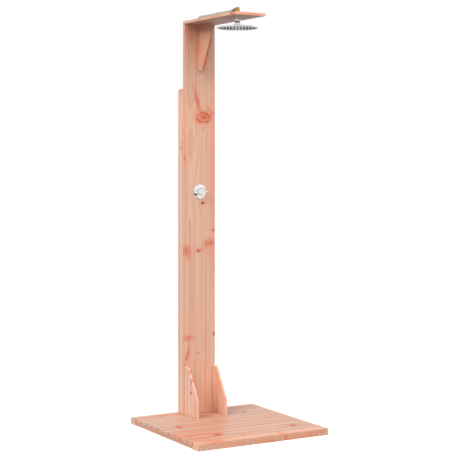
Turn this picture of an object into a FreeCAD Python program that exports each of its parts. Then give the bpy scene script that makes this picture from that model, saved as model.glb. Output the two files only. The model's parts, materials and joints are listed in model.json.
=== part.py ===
import FreeCAD, Part
import math
import os

# Outdoor shower post: a slatted wooden tray, a boxed board post with a valve, and a
# board roof that carries a rain head. All sizes are in millimetres.
# Axes: +X right, -Y front, +Z up. Origin: middle of the tray's footprint, on the ground.

V = FreeCAD.Vector
X_AXIS = V(1, 0, 0)
Y_AXIS = V(0, 1, 0)
Z_AXIS = V(0, 0, 1)
FRONT = V(0, -1, 0)
DOWN = V(0, 0, -1)

# ------------------------------------------------------------------ tray
tray_width = 700.0
tray_depth = 700.0
slat_thickness = 16.0
slat_width = 53.0
least_slat_gap = 4.0
beam_depth = 55.0
joist_thickness = 16.0
joist_width = 60.0
joist_setback = 2.0
joist_screw_spacing = 30.0

# ------------------------------------------------------------------ post and roof
post_width = 174.0
board_thickness = 18.0
side_depth = 52.0
side_top = 1662.0
side_corner_radius = 20.0
lower_joint = 681.0
upper_joint = 1011.0
roof_top = 2000.0
roof_thickness = 14.0
roof_length = 510.0

# gussets at the foot, and a like plate upside down as the roof's brace
knee_thickness = 11.0
knee_height = 235.0
knee_upright = 80.0
knee_narrow_end = 35.0
knee_corner_radius = 10.0
gusset_inset = 2.0
gusset_depth = 131.0
brace_depth = 118.0

edge_ease = 1.2

# ------------------------------------------------------------------ wood screws
screw_room = 0.15
head_sink = 0.3
head_ratio = 1.9
head_rim = 0.5
tip_ratio = 2.5
recess_depth_ratio = 0.5
recess_width_ratio = 0.3
hole_overrun = 2.0

joist_screw_radius = 2.3
joist_screw_length = 90.0
slat_screw_radius = 1.75
slat_screw_length = 28.0
base_screw_radius = 2.5
base_screw_length = 70.0
post_screw_radius = 2.0
post_screw_length = 50.0
brace_screw_radius = 1.5
brace_screw_length = 34.0
clip_screw_radius = 1.4
clip_screw_length = 13.0

end_screw_inset = 30.0
foot_row_height = 50.0
joint_screw_offset = 29.0
roof_screw_x = 55.0
brace_top_screws = (35.0, 100.0)
brace_side_screws = ((17.0, 19.0), (28.5, 30.0))
brace_screw_aim = 10.0
foot_screw_inset = 13.0
gusset_screw_slats = 2
gusset_screw_shift = 14.0

# ------------------------------------------------------------------ plumbing fits
thread_room = 0.1
running_room = 0.08
bore_room = 0.3
turning_gap = 0.5
hex_chamfer_angle = 30.0

# ------------------------------------------------------------------ valve
valve_z = 1145.0
riser_setback = 30.0
barrel_radius = 14.0
barrel_half_length = 28.0
port_bore = 5.0
inlet_thread_radius = 10.4
inlet_thread_length = 10.0
boss_radius = 14.5
boss_reach = 9.0
flange_radius = 22.0
flange_thickness = 4.0
locknut_flats = 38.0
locknut_thickness = 6.0
cartridge_radius = 11.0
cartridge_flange = 2.0
disc_thickness = 4.0
disc_port_radius = 2.2
disc_port_offset = 4.5
turning_disc_radius = 8.3
chamber_offset = 5.0
flow_web = 2.0
stem_radius = 4.0
seal_radius = 1.0
seal_depth = 3.0

escutcheon_radius = 36.0
escutcheon_height = 9.0
escutcheon_wall = 1.6
escutcheon_rim = 1.5
gasket_thickness = 1.0
gasket_width = 5.0

hub_radius = 20.0
hub_face_radius = 14.0
hub_length = 17.5
hub_skirt = 3.5
lever_radius = 3.0
lever_reach = 37.5
lever_seat = 9.0
stem_seat_depth = 10.0
cap_radius = 8.0
cap_thickness = 1.4
cap_crown = 0.6
handle_screw_radius = 2.0
handle_screw_length = 10.0
handle_screw_head = 3.6
handle_screw_head_height = 2.4
handle_socket_flats = 3.0

# ------------------------------------------------------------------ supply inlet
inlet_flats = 27.0
inlet_nut_length = 14.0
spigot_radius = 7.9
spigot_length = 16.0
spigot_groove_depth = 1.2
spigot_groove_width = 3.0
spigot_tip = 4.0

# ------------------------------------------------------------------ riser hose
hose_radius = 7.0
hose_bore = 5.0
hose_height = 22.0
hose_bend = 60.0
hose_thread_radius = 8.3
hose_thread_length = 10.0
union_flats = 22.0
union_length = 14.0
ferrule_radius = 9.0
ferrule_length = 14.0
ferrule_bead = 0.6
tail_collar = 2.0
tail_bore = 3.6
clip_width = 12.0
clip_wall = 2.2
clip_base_length = 36.0
clip_base_thickness = 3.0
clip_stem = 6.0
clip_screw_offset = 12.5
clip_mouth_ratio = 1.5
roof_clip_back = 42.0
post_clip_count = 3

# ------------------------------------------------------------------ elbow and neck
head_inset = 114.0
elbow_radius = 10.0
elbow_arm_radius = 9.5
elbow_crown = 15.0
elbow_shoulder = 11.0
elbow_flats = 24.0
elbow_hex_height = 6.0
elbow_arm = 13.0
elbow_bore = 6.0
nipple_radius = 10.4
nipple_reach = 6.5
neck_washer_thickness = 1.5
coupling_radius = 15.0
coupling_length = 14.0
shank_radius = 7.0
neck_radius = 4.75
neck_bore = 3.0
ball_radius = 9.0
ball_drop = 14.0
ball_room = 0.1
seat_thickness = 1.6
seat_half_angle = 25.0

# ------------------------------------------------------------------ rain head
collar_radius = 14.5
collar_skirt = 10.0
collar_opening_angle = 45.0
collar_mouth_radius = 9.0
cup_edge_drop = 6.5
head_radius = 98.0
head_bottom = 24.0
rim_height = 7.0
rim_round = 4.0
rim_lip = 2.0
shell_shoulder = 16.0
shell_wall = 2.2
shoulder_height = 1.5
water_way = 4.5
plate_recess = 0.5
plate_thickness = 1.5
mat_thickness = 2.5
mat_land = 6.0
nozzle_radius = 2.1
nozzle_tip_radius = 1.5
nozzle_bore = 0.6
nozzle_drop = 3.0
nozzle_pitch = 16.5
nozzle_rings = 5
nozzles_per_ring = 6

# ------------------------------------------------------------------ derived places
tray_height = joist_thickness + slat_thickness
back = tray_depth / 2
board_back = back - side_depth
board_front = board_back - board_thickness
side_x = post_width / 2 - board_thickness / 2
gusset_x = post_width / 2 - gusset_inset - knee_thickness / 2
roof_underside = roof_top - roof_thickness
roof_front = board_back - roof_length
riser_y = board_back + riser_setback
hose_z = roof_top + hose_height
head_y = roof_front + head_inset
slat_field = tray_depth - 2 * beam_depth
slat_count = int((slat_field - least_slat_gap) / (slat_width + least_slat_gap))
slat_gap = (slat_field - slat_count * slat_width) / (slat_count + 1)
outer_joist_x = tray_width / 2 - joist_setback - joist_width / 2
joist_xs = (-outer_joist_x, -side_x, side_x, outer_joist_x)
# slats are counted from the post towards the front
slat_ys = [
    slat_field / 2 - slat_gap - slat_width / 2 - k * (slat_width + slat_gap)
    for k in range(slat_count)
]
ball_z = roof_underside - coupling_length - ball_drop
touch = 0.001
hole_solids = []


# ------------------------------------------------------------------ shape helpers
def span(middle, size):
    """Limits of a length that is centred on middle."""
    return middle - size / 2, middle + size / 2


def block(x, y, z):
    """Box between three pairs of limits."""
    return Part.makeBox(x[1] - x[0], y[1] - y[0], z[1] - z[0], V(x[0], y[0], z[0]))


def eased(solid):
    """The solid with all its edges lightly rounded, as sanded wood."""
    return solid.makeFillet(edge_ease, solid.Edges)


def board(x, y, z):
    return eased(block(x, y, z))


def runs_through(edge, corner):
    """True if every end of the edge is at the corner's y and z."""
    return all(math.dist((v.Y, v.Z), corner) < touch for v in edge.Vertexes)


def side_plate(outline_yz, x_middle, thickness, corner, radius):
    """A board cut to an outline in the YZ plane, with one of its corners rounded."""
    x0 = x_middle - thickness / 2
    corners = [V(x0, y, z) for y, z in outline_yz]
    face = Part.Face(Part.makePolygon(corners + corners[:1]))
    plate = face.extrude(X_AXIS * thickness)
    edges = [edge for edge in plate.Edges if runs_through(edge, corner)]
    return eased(plate.makeFillet(radius, edges))


def placed(shape, origin, axis):
    """A copy of a shape made along +Z, moved to origin and turned along axis."""
    moved = shape.copy()
    moved.Placement = FreeCAD.Placement(origin, FreeCAD.Rotation(Z_AXIS, axis))
    return moved


def on_surface(shape, origin, along, normal):
    """A copy of a shape made on the XY plane, with its X along and its Z on normal."""
    turn = FreeCAD.Rotation(along, normal.cross(along), normal, "ZXY")
    moved = shape.copy()
    moved.Placement = FreeCAD.Placement(origin, turn)
    return moved


def profile(start, steps):
    """Closed face of (radius, height) points. A step of two points is an arc, via the first."""
    here = V(start[0], 0, start[1])
    edges = []
    closed = isinstance(steps[-1][0], tuple) and steps[-1][1] == start
    for step in steps if closed else steps + [start]:
        if isinstance(step[0], tuple):
            via = V(step[0][0], 0, step[0][1])
            end = V(step[1][0], 0, step[1][1])
            edges.append(Part.Arc(here, via, end).toShape())
        else:
            end = V(step[0], 0, step[1])
            edges.append(Part.LineSegment(here, end).toShape())
        here = end
    return Part.Face(Part.Wire(edges))


def turned(start, steps, origin=V(0, 0, 0), axis=Z_AXIS):
    """The profile turned about its height axis, then placed."""
    return placed(profile(start, steps).revolve(V(0, 0, 0), Z_AXIS, 360), origin, axis)


def rod(radius, length, origin, axis=Z_AXIS):
    return Part.makeCylinder(radius, length, origin, axis)


def annulus(outer, inner, origin, axis=Z_AXIS):
    """Flat ring face."""
    circles = [Part.Wire(Part.makeCircle(radius, origin, axis)) for radius in (outer, inner)]
    return Part.makeFace(circles, "Part::FaceMakerBullseye")


def ring(outer, inner, length, origin, axis=Z_AXIS):
    return annulus(outer, inner, origin, axis).extrude(axis * length)


def hexagon(flats, length, origin, axis=Z_AXIS):
    """Hexagonal prism with the corners turned off at both ends."""
    corner = flats / math.sqrt(3)
    drop = (corner - flats / 2) * math.tan(math.radians(hex_chamfer_angle))
    points = [
        V(corner * math.cos(k * math.pi / 3), corner * math.sin(k * math.pi / 3), 0)
        for k in range(7)
    ]
    prism = Part.Face(Part.makePolygon(points)).extrude(Z_AXIS * length)
    blank = turned(
        (0, 0),
        [(flats / 2, 0), (corner, drop), (corner, length - drop), (flats / 2, length), (0, length)],
    )
    return placed(prism.common(blank), origin, axis)


def bend_via(start, tangent, end):
    """Middle of the arc that leaves start along tangent, a unit pair, and comes to end."""
    chord = (end[0] - start[0], end[1] - start[1])
    length = math.hypot(*chord)
    lean = (tangent[0] + chord[0] / length, tangent[1] + chord[1] / length)
    scale = length / (lean[0] ** 2 + lean[1] ** 2)
    return start[0] + lean[0] * scale, start[1] + lean[1] * scale


def arc_point(radius, degrees, centre_height=0.0):
    """Point of a profile on a circle about its axis, at an angle above the horizontal."""
    angle = math.radians(degrees)
    return radius * math.cos(angle), centre_height + radius * math.sin(angle)


# ------------------------------------------------------------------ screws
def screw_blank(radius, length, top):
    """Countersunk screw along +Z, its head's face at z = 0 and drawn out up to top."""
    head = radius * head_ratio
    cone_end = head_rim + head - radius
    return turned(
        (0, top),
        [(head, top), (head, head_rim), (radius, cone_end), (radius, length - tip_ratio * radius),
         (0, length)],
    )


def wood_screw(radius, length):
    """Countersunk screw with a cross recess."""
    head = radius * head_ratio
    width = head * recess_width_ratio
    depth = head * recess_depth_ratio
    bar = block(span(0, head), span(0, width), (0, depth))
    cross_bar = block(span(0, width), span(0, head), (0, depth))
    return screw_blank(radius, length, 0).cut([bar, cross_bar])


def drive(radius, length, places):
    """A group of equal screws at (point on the surface, direction) places, and their holes."""
    screw = wood_screw(radius, length)
    hole = screw_blank(radius + screw_room, length + screw_room, -hole_overrun)
    group = []
    for point, direction in places:
        seat = point + direction * head_sink
        group.append(placed(screw, seat, direction))
        hole_solids.append(placed(hole, seat, direction))
    return Part.makeCompound(group)


def drilled(solid):
    """The solid with every screw hole that reaches it."""
    near = [hole for hole in hole_solids if hole.BoundBox.intersect(solid.BoundBox)]
    return solid.cut(near).Solids[0] if near else solid


def joist_screws():
    places = []
    for x in joist_xs:
        for side in span(x, joist_screw_spacing):
            places.append((V(side, -back, joist_thickness / 2), Y_AXIS))
            places.append((V(side, back, joist_thickness / 2), FRONT))
    return drive(joist_screw_radius, joist_screw_length, places)


def slat_screws():
    places = [(V(x, y, 0), Z_AXIS) for x in joist_xs for y in slat_ys]
    return drive(slat_screw_radius, slat_screw_length, places)


def base_screws():
    """From below, into the side boards, and through the first slats into the gussets."""
    places = []
    for side in (-1, 1):
        for y in (back - foot_screw_inset, board_back + foot_screw_inset):
            places.append((V(side * side_x, y, 0), Z_AXIS))
        for y in slat_ys[:gusset_screw_slats]:
            places.append((V(side * gusset_x, y - gusset_screw_shift, 0), Z_AXIS))
    return drive(base_screw_radius, base_screw_length, places)


def front_board_screws():
    """Two columns, one in each side board, with a pair on each side of both joints."""
    top = side_top - end_screw_inset
    first_upper = upper_joint + joint_screw_offset
    heights = [
        tray_height + foot_row_height,
        lower_joint - joint_screw_offset,
        lower_joint + joint_screw_offset,
        upper_joint - joint_screw_offset,
        first_upper,
        (first_upper + top) / 2,
        top,
    ]
    places = [(V(side * side_x, board_front, z), Y_AXIS) for side in (-1, 1) for z in heights]
    return drive(post_screw_radius, post_screw_length, places)


def roof_screws():
    """Down through the roof into the front board's end and the brace."""
    board_middle = board_front + board_thickness / 2
    places = [(V(x, board_middle, roof_top), DOWN) for x in (-roof_screw_x, roof_screw_x)]
    places += [(V(0, board_front - reach, roof_top), DOWN) for reach in brace_top_screws]
    return drive(post_screw_radius, post_screw_length, places)


def brace_screws():
    """Driven at a slant from the brace's left face into the front board."""
    foot = roof_underside - knee_height
    places = []
    for reach, rise in brace_side_screws:
        start = V(-knee_thickness / 2, board_front - reach, foot + rise)
        end = V(knee_thickness / 2, board_front + brace_screw_aim, foot + rise)
        places.append((start, (end - start).normalize()))
    return drive(brace_screw_radius, brace_screw_length, places)


def clip_screws():
    places = []
    for origin, along, normal in clip_places():
        across = normal.cross(along)
        for side in (-clip_screw_offset, clip_screw_offset):
            places.append((origin + normal * clip_base_thickness + across * side, normal * -1))
    return drive(clip_screw_radius, clip_screw_length, places)


# ------------------------------------------------------------------ tray
def tray():
    """End beams of full height, slats between them, and joists below the slats."""
    parts = {}
    across = (-tray_width / 2, tray_width / 2)
    parts["front_beam"] = board(across, (-back, -back + beam_depth), (0, tray_height))
    parts["back_beam"] = board(across, (back - beam_depth, back), (0, tray_height))
    for number, y in enumerate(slat_ys, 1):
        slat = board(across, span(y, slat_width), (joist_thickness, tray_height))
        parts[f"slat_{number:02d}"] = slat
    for number, x in enumerate(joist_xs, 1):
        length = (-slat_field / 2, slat_field / 2)
        parts[f"joist_{number}"] = board(span(x, joist_width), length, (0, joist_thickness))
    return parts


# ------------------------------------------------------------------ post and roof
def side_board(side):
    top_corner = (back, side_top)
    outline = [(board_back, tray_height), (back, tray_height), top_corner, (board_back, side_top)]
    return side_plate(outline, side * side_x, board_thickness, top_corner, side_corner_radius)


def knee_plate(x_middle, foot_z, way, depth):
    """Gusset that stands on foot_z against the front board, or hangs from it if way is -1."""
    knee_y = board_front - depth
    end_corner = (board_front - knee_narrow_end, foot_z + way * knee_height)
    outline = [
        (board_front, foot_z),
        (knee_y, foot_z),
        (knee_y, foot_z + way * knee_upright),
        end_corner,
        (board_front, foot_z + way * knee_height),
    ]
    return side_plate(outline, x_middle, knee_thickness, end_corner, knee_corner_radius)


def post():
    parts = {}
    width = span(0, post_width)
    depth = (board_front, board_back)
    upper = board(width, depth, (upper_joint, roof_underside))
    boss_hole = rod(boss_radius + bore_room, board_thickness, V(0, board_front, valve_z), Y_AXIS)
    nipple_hole = rod(nipple_radius + bore_room, roof_thickness, V(0, head_y, roof_underside))
    roof = board(width, (roof_front, board_back), (roof_underside, roof_top))
    parts["front_board_lower"] = board(width, depth, (tray_height, lower_joint))
    parts["front_board_middle"] = board(width, depth, (lower_joint, upper_joint))
    parts["front_board_upper"] = upper.cut(boss_hole)
    parts["side_board_left"] = side_board(-1)
    parts["side_board_right"] = side_board(1)
    parts["roof_board"] = roof.cut(nipple_hole)
    parts["roof_brace"] = knee_plate(0, roof_underside, -1, brace_depth)
    parts["gusset_left"] = knee_plate(-gusset_x, tray_height, 1, gusset_depth)
    parts["gusset_right"] = knee_plate(gusset_x, tray_height, 1, gusset_depth)
    return parts


# ------------------------------------------------------------------ valve
# Along the stem, a place is its distance in front of the front board's face.
def ahead(distance, x=0.0, z=0.0):
    """Point on the stem's axis, distance in front of the board, moved by x and z."""
    return V(x, board_front - distance, valve_z + z)


riser_ahead = board_front - riser_y
chamber_floor = riser_ahead + chamber_offset
cartridge_back = chamber_floor + disc_thickness
cartridge_front = boss_reach + cartridge_flange
turning_disc_back = cartridge_back + thread_room
stem_back = cartridge_back + disc_thickness - thread_room
seal_middle = cartridge_front - seal_depth
escutcheon_front = gasket_thickness + escutcheon_height
hub_back = escutcheon_front + turning_gap
hub_front = hub_back + hub_length
hub_floor = cartridge_front + turning_gap
stem_front = hub_floor + stem_seat_depth
lever_ahead = hub_back + hub_skirt + lever_radius
port_top = valve_z + barrel_half_length
port_bottom = valve_z - barrel_half_length


def valve_body():
    """Barrel on the riser's line, with a threaded boss that passes through the board."""
    barrel = rod(barrel_radius, 2 * barrel_half_length, V(0, riser_y, port_bottom))
    outlet = rod(hose_thread_radius, hose_thread_length, V(0, riser_y, port_top))
    inlet = rod(inlet_thread_radius, inlet_thread_length, V(0, riser_y, port_bottom), DOWN)
    boss = rod(boss_radius, boss_reach - riser_ahead, ahead(riser_ahead), FRONT)
    flange = rod(flange_radius, flange_thickness, V(0, board_back, valve_z), Y_AXIS)
    body = barrel.fuse([outlet, inlet, boss, flange])
    chamber_radius = cartridge_radius + thread_room
    chamber = rod(chamber_radius, boss_reach - chamber_floor, ahead(chamber_floor), FRONT)
    way_length = barrel_half_length + inlet_thread_length - flow_web
    way_up = rod(port_bore, way_length, V(0, riser_y, valve_z + flow_web))
    way_down = rod(port_bore, way_length, V(0, riser_y, valve_z - flow_web), DOWN)
    return body.cut([chamber, way_up, way_down]).removeSplitter()


def valve_cartridge():
    """Sleeve that holds the stem, with a seat for the turning disc and one for the seal."""
    length = cartridge_front - cartridge_back
    groove_radius = stem_radius + 2 * seal_radius + thread_room
    flange_back = boss_reach - cartridge_back
    seal_back = seal_middle - seal_radius - cartridge_back
    seal_front = seal_middle + seal_radius - cartridge_back
    bore = stem_radius + running_room
    disc_seat = turning_disc_radius + thread_room
    steps = [
        (cartridge_radius, 0), (cartridge_radius, flange_back), (boss_radius, flange_back),
        (boss_radius, length), (bore, length), (bore, seal_front), (groove_radius, seal_front),
        (groove_radius, seal_back), (bore, seal_back), (bore, disc_thickness),
        (disc_seat, disc_thickness),
    ]
    return turned((disc_seat, 0), steps, ahead(cartridge_back), FRONT)


def ceramic_disc(radius, thickness, back_ahead):
    """Disc with two water ports, one above and one below the axis."""
    disc = rod(radius, thickness, ahead(back_ahead), FRONT)
    ports = [
        rod(disc_port_radius, thickness, ahead(back_ahead, z=side * disc_port_offset), FRONT)
        for side in (-1, 1)
    ]
    return disc.cut(ports)


def escutcheon():
    """Domed cover over the locknut, hollow behind, with a hole for the boss."""
    hole = boss_radius + bore_room
    rim = (escutcheon_radius, escutcheon_rim)
    top = (hole + escutcheon_wall, escutcheon_height)
    under = (top[0], escutcheon_height - escutcheon_wall)
    inside = (escutcheon_radius - escutcheon_wall, escutcheon_rim)
    steps = [
        rim, (bend_via(top, (1, 0), rim), top), (hole, top[1]), (hole, under[1]), under,
        (bend_via(under, (1, 0), inside), inside), (inside[0], 0),
    ]
    return turned((escutcheon_radius, 0), steps, ahead(gasket_thickness), FRONT)


def handle_hub():
    """Rounded knob on the stem, with seats for the lever, the screw and the cap."""
    skirt_end = (hub_radius, hub_skirt)
    face_edge = (hub_face_radius, hub_length)
    recess = boss_radius + turning_gap
    floor = hub_floor - hub_back
    steps = [
        (hub_radius, 0), skirt_end, (bend_via(skirt_end, (0, 1), face_edge), face_edge),
        (0, hub_length), (0, floor), (recess, floor),
    ]
    hub = turned((recess, 0), steps, ahead(hub_back), FRONT)
    stem_hole = rod(stem_radius + thread_room, stem_seat_depth, ahead(hub_floor), FRONT)
    head_back = hub_front - cap_thickness - handle_screw_head_height
    screw_hole = rod(handle_screw_radius + thread_room, hub_length, ahead(hub_back), FRONT)
    cap_hole = rod(cap_radius + thread_room, hub_length, ahead(head_back), FRONT)
    lever_hole = rod(
        lever_radius + thread_room, hub_radius, ahead(lever_ahead, x=lever_seat), X_AXIS
    )
    return hub.cut([stem_hole, screw_hole, cap_hole, lever_hole])


def handle_lever():
    """Round pin to the right, with a ball end."""
    length = lever_reach - lever_seat
    round_start = length - lever_radius
    steps = [
        (lever_radius, 0), (lever_radius, round_start),
        (arc_point(lever_radius, 45, round_start), (0, length)),
    ]
    return turned((0, 0), steps, ahead(lever_ahead, x=lever_seat), X_AXIS)


def handle_screw():
    """Cap screw that holds the hub on the stem, its head's face to the front."""
    face = hub_front - cap_thickness
    neck = face - handle_screw_head_height
    shank = rod(handle_screw_radius, handle_screw_length, ahead(neck), Y_AXIS)
    head = rod(handle_screw_head, handle_screw_head_height, ahead(face), Y_AXIS)
    socket = hexagon(handle_socket_flats, handle_screw_head_height / 2, ahead(face), Y_AXIS)
    return shank.fuse(head).cut(socket).removeSplitter()


def handle_cap():
    """Thin lid over the screw, slightly crowned."""
    edge = (cap_radius, cap_thickness)
    top = (0, cap_thickness + cap_crown)
    steps = [(cap_radius, 0), edge, (bend_via(top, (1, 0), edge), top)]
    return turned((0, 0), steps, ahead(hub_front - cap_thickness), FRONT)


def valve_stem():
    stem = rod(stem_radius, stem_front - stem_back, ahead(stem_back), FRONT)
    screw_end = hub_front - cap_thickness - handle_screw_head_height - handle_screw_length
    hole = rod(handle_screw_radius + thread_room, hub_length, ahead(screw_end), FRONT)
    return stem.cut(hole)


def inlet_connector():
    """Hexagonal socket on the valve's inlet thread, with a grooved spigot below."""
    nut = hexagon(inlet_flats, inlet_nut_length, V(0, riser_y, port_bottom), DOWN)
    groove = spigot_radius - spigot_groove_depth
    tip_end = spigot_length + spigot_groove_width + spigot_tip
    steps = [
        (spigot_radius, 0), (spigot_radius, spigot_length), (groove, spigot_length),
        (groove, spigot_length + spigot_groove_width),
        (spigot_radius, spigot_length + spigot_groove_width),
        (spigot_radius, tip_end - spigot_groove_depth), (groove, tip_end), (0, tip_end),
    ]
    spigot = turned((0, 0), steps, V(0, riser_y, port_bottom - inlet_nut_length), DOWN)
    socket = rod(
        inlet_thread_radius + thread_room, inlet_thread_length, V(0, riser_y, port_bottom), DOWN
    )
    way = rod(port_bore, inlet_nut_length + tip_end, V(0, riser_y, port_bottom), DOWN)
    return nut.fuse(spigot).cut([socket, way]).removeSplitter()


def valve():
    parts = {"valve_body": valve_body(), "valve_cartridge": valve_cartridge()}
    parts["valve_fixed_disc"] = ceramic_disc(cartridge_radius, disc_thickness, chamber_floor)
    parts["valve_turning_disc"] = ceramic_disc(
        turning_disc_radius, stem_back - turning_disc_back, turning_disc_back
    )
    seal_ring = Part.makeTorus(
        stem_radius + running_room + seal_radius - thread_room / 2, seal_radius - thread_room,
        ahead(seal_middle), Y_AXIS,
    )
    parts["stem_seal"] = seal_ring
    nut = hexagon(locknut_flats, locknut_thickness, ahead(0), FRONT)
    parts["valve_locknut"] = nut.cut(
        rod(boss_radius + thread_room, locknut_thickness, ahead(0), FRONT)
    )
    parts["escutcheon"] = escutcheon()
    parts["escutcheon_gasket"] = ring(
        escutcheon_radius - escutcheon_wall / 2, escutcheon_radius - gasket_width,
        gasket_thickness, ahead(0), FRONT,
    )
    parts["valve_stem"] = valve_stem()
    parts["handle_hub"] = handle_hub()
    parts["handle_lever"] = handle_lever()
    parts["handle_screw"] = handle_screw()
    parts["handle_cap"] = handle_cap()
    parts["inlet_connector"] = inlet_connector()
    return parts


# ------------------------------------------------------------------ riser
elbow_port_y = head_y + elbow_arm
upper_tail_y = elbow_port_y + hose_thread_length
lower_tail_z = port_top + hose_thread_length


def hose_length():
    """Length along the middle of the hose, from one tail's collar to the other."""
    rise = hose_z - hose_bend - lower_tail_z - tail_collar
    run = riser_y - hose_bend - upper_tail_y - tail_collar
    return rise + run + hose_bend * math.pi / 2


def riser_hose():
    """Up the back of the post, round one bend and forward above the roof."""
    start = V(0, riser_y, lower_tail_z + tail_collar)
    bend_start = V(0, riser_y, hose_z - hose_bend)
    section = annulus(hose_radius, hose_bore, bend_start)
    bend = section.revolve(V(0, riser_y - hose_bend, hose_z - hose_bend), X_AXIS, 90)
    rise = ring(hose_radius, hose_bore, bend_start.z - start.z, start)
    run_end = upper_tail_y + tail_collar
    run = ring(
        hose_radius, hose_bore, riser_y - hose_bend - run_end, V(0, run_end, hose_z), Y_AXIS
    )
    hose = rise.fuse([bend, run]).removeSplitter()
    area = math.pi * (hose_radius ** 2 - hose_bore ** 2)
    ratio = hose.Volume / (area * hose_length())
    print(f"riser hose: length {hose_length():.1f}, volume over section times length {ratio:.5f}")
    return hose


def union_nut(origin, axis):
    """Nut over a hose port's thread, with a lip behind the tail's collar."""
    nut = hexagon(union_flats, union_length, origin, axis)
    thread = rod(hose_thread_radius + thread_room, hose_thread_length + tail_collar, origin, axis)
    lip = rod(hose_radius + thread_room, union_length, origin, axis)
    return nut.cut([thread, lip])


def hose_tail(origin, axis):
    """Collar against the port, and a barbed pipe inside the hose."""
    barb = hose_bore - thread_room
    reach = union_length - hose_thread_length + ferrule_length
    steps = [
        (hose_thread_radius, 0), (hose_thread_radius, tail_collar), (barb, tail_collar),
        (barb, reach - tail_collar), (tail_bore + ferrule_bead, reach), (tail_bore, reach),
    ]
    return turned((tail_bore, 0), steps, origin, axis)


def hose_ferrule(origin, axis):
    """Crimped sleeve on the hose, with two beads."""
    inner = hose_radius + thread_room
    swell = ferrule_radius + ferrule_bead
    quarter = ferrule_length / 4
    steps = [
        (ferrule_radius, 0), (ferrule_radius, quarter),
        ((swell, quarter * 1.5), (ferrule_radius, quarter * 2)),
        ((swell, quarter * 2.5), (ferrule_radius, quarter * 3)),
        (ferrule_radius, ferrule_length), (inner, ferrule_length),
    ]
    return turned((inner, 0), steps, origin, axis)


def clip_places():
    """Where the clips stand: (point on the surface, along the hose, surface normal)."""
    last = board_back - roof_clip_back
    sleeve_end = elbow_port_y + union_length + ferrule_length
    places = [(V(0, y, roof_top), Y_AXIS, Z_AXIS) for y in (last, (last + sleeve_end) / 2)]
    low = port_top + union_length + ferrule_length
    pitch = (hose_z - hose_bend - low) / post_clip_count
    heights = [low + pitch * (k + 0.5) for k in range(post_clip_count)]
    places += [(V(0, board_back, z), Z_AXIS, Y_AXIS) for z in heights]
    return places


def hose_clip(stand_off):
    """Open ring on a stem and a base, made on the XY plane with the hose along X."""
    inner = hose_radius + thread_room
    outer = inner + clip_wall
    half = clip_width / 2
    base = block((-half, half), span(0, clip_base_length), (0, clip_base_thickness))
    stem = block((-half, half), span(0, clip_stem), (0, stand_off))
    loop = rod(outer, clip_width, V(-half, 0, stand_off), X_AXIS)
    bore = rod(inner, clip_width, V(-half, 0, stand_off), X_AXIS)
    mouth_width = hose_radius * clip_mouth_ratio
    mouth = block((-half, half), span(0, mouth_width), (stand_off, stand_off + 2 * outer))
    return base.fuse([stem, loop]).cut([bore, mouth]).removeSplitter()


def riser():
    lower = V(0, riser_y, lower_tail_z)
    upper = V(0, upper_tail_y, hose_z)
    lower_nut = V(0, riser_y, port_top)
    upper_nut = V(0, elbow_port_y, hose_z)
    clips = []
    for origin, along, normal in clip_places():
        stand_off = hose_height if normal == Z_AXIS else riser_setback
        clip = on_surface(hose_clip(stand_off), origin, along, normal)
        clips.append(drilled(clip))
    parts = {"riser_hose": riser_hose(), "hose_clips": Part.makeCompound(clips)}
    ends = ((lower_nut, lower, Z_AXIS), (upper_nut, upper, Y_AXIS))
    parts["union_nuts"] = Part.makeCompound([union_nut(nut, axis) for nut, tail, axis in ends])
    parts["hose_tails"] = Part.makeCompound([hose_tail(tail, axis) for nut, tail, axis in ends])
    parts["hose_ferrules"] = Part.makeCompound(
        [hose_ferrule(nut + axis * union_length, axis) for nut, tail, axis in ends]
    )
    return parts


# ------------------------------------------------------------------ elbow and neck
def roof_elbow():
    """Threaded nipple through the roof, a hexagon on it, and an arm back to the hose."""
    foot = roof_underside - nipple_reach
    nipple = rod(nipple_radius, roof_top - foot, V(0, head_y, foot))
    collar = hexagon(elbow_flats, elbow_hex_height, V(0, head_y, roof_top))
    upright = rod(elbow_radius, hose_height, V(0, head_y, roof_top))
    shoulder = (elbow_radius, elbow_shoulder)
    top = (0, elbow_crown)
    crown_steps = [(elbow_radius, 0), shoulder, (bend_via(top, (1, 0), shoulder), top)]
    crown = turned((0, 0), crown_steps, V(0, head_y, hose_z))
    arm = rod(elbow_arm_radius, elbow_arm, V(0, head_y, hose_z), Y_AXIS)
    thread = rod(hose_thread_radius, hose_thread_length, V(0, elbow_port_y, hose_z), Y_AXIS)
    body = nipple.fuse([collar, upright, crown, arm, thread])
    way_down = rod(elbow_bore, hose_z - foot, V(0, head_y, foot))
    way_back = rod(port_bore, elbow_arm + hose_thread_length, V(0, head_y, hose_z), Y_AXIS)
    return body.cut([way_down, way_back]).removeSplitter()


def neck_coupling():
    """Round nut under the roof: it clamps the elbow and takes the ball nipple's shank."""
    seat = nipple_reach + neck_washer_thickness
    edge = edge_ease
    steps = [
        (coupling_radius - edge, 0), (coupling_radius, edge), (coupling_radius, coupling_length - edge),
        (coupling_radius - edge, coupling_length), (shank_radius + thread_room, coupling_length),
        (shank_radius + thread_room, seat), (nipple_radius + thread_room, seat),
    ]
    return turned((nipple_radius + thread_room, 0), steps, V(0, head_y, roof_underside), DOWN)


def ball_nipple():
    """Threaded shank, slim neck and ball, bored through."""
    shank_length = coupling_length - nipple_reach - neck_washer_thickness
    neck_angle = math.degrees(math.acos(neck_radius / ball_radius))
    bottom_angle = -math.degrees(math.acos(neck_bore / ball_radius))
    meet = arc_point(ball_radius, neck_angle)
    bottom = arc_point(ball_radius, bottom_angle)
    steps = [
        (shank_radius, ball_drop + shank_length), (shank_radius, ball_drop),
        (neck_radius, ball_drop), meet, ((ball_radius, 0), bottom),
    ]
    top = (neck_bore, ball_drop + shank_length)
    return turned(top, steps, V(0, head_y, ball_z))


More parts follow.
